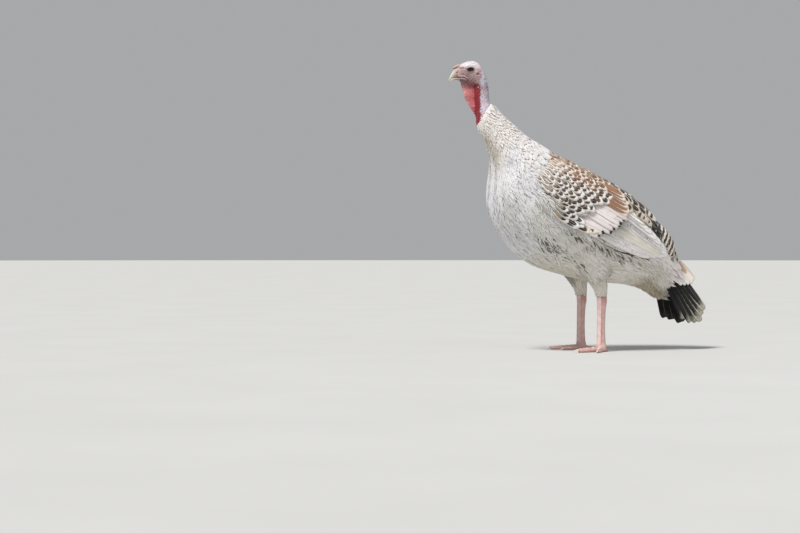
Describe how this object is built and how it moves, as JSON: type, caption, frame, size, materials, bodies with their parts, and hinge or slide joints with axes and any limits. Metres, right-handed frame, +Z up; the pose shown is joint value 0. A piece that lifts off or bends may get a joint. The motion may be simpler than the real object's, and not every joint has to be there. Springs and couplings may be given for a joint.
{
  "type": "domestic turkey hen, life-size still model",
  "caption": "Life-size still model of a young domestic turkey hen that stands on both feet with its head turned aside.",
  "frame": {"origin": "on the floor, under the middle of the bird's bounding box", "axes": "-Y is the way the body faces, +X is the bird's left, +Z is up"},
  "size_m": [0.2324, 0.6568, 0.6815],
  "materials": {
    "bare_skin": "satin, finely wrinkled",
    "bill": "smooth horn",
    "snood": "satin, wrinkled",
    "wattle": "satin, grainy",
    "eye": "wet gloss",
    "pale_feathers": "soft matte",
    "wing_feathers": "matte vanes",
    "tail_feathers": "matte vanes",
    "leg_scales": "smooth scutes",
    "claw": "smooth horn"
  },
  "bodies": {
    "root": {"head": "bare_skin", "bill_upper": "bill", "bill_lower": "bill", "snood": "snood", "wattle": "wattle", "eye_left": "eye", "eye_right": "eye", "neck_upper": "bare_skin", "neck_lower": "pale_feathers", "torso": "pale_feathers", "wing_left": "wing_feathers", "wing_right": "wing_feathers", "tail": "tail_feathers", "thigh_left": "pale_feathers", "shank_left": "leg_scales", "foot_left": "leg_scales", "claw_left_1": "claw", "claw_left_2": "claw", "claw_left_3": "claw", "claw_left_4": "claw", "thigh_right": "pale_feathers", "shank_right": "leg_scales", "foot_right": "leg_scales", "claw_right_1": "claw", "claw_right_2": "claw", "claw_right_3": "claw", "claw_right_4": "claw"}
  },
  "joints": []
}
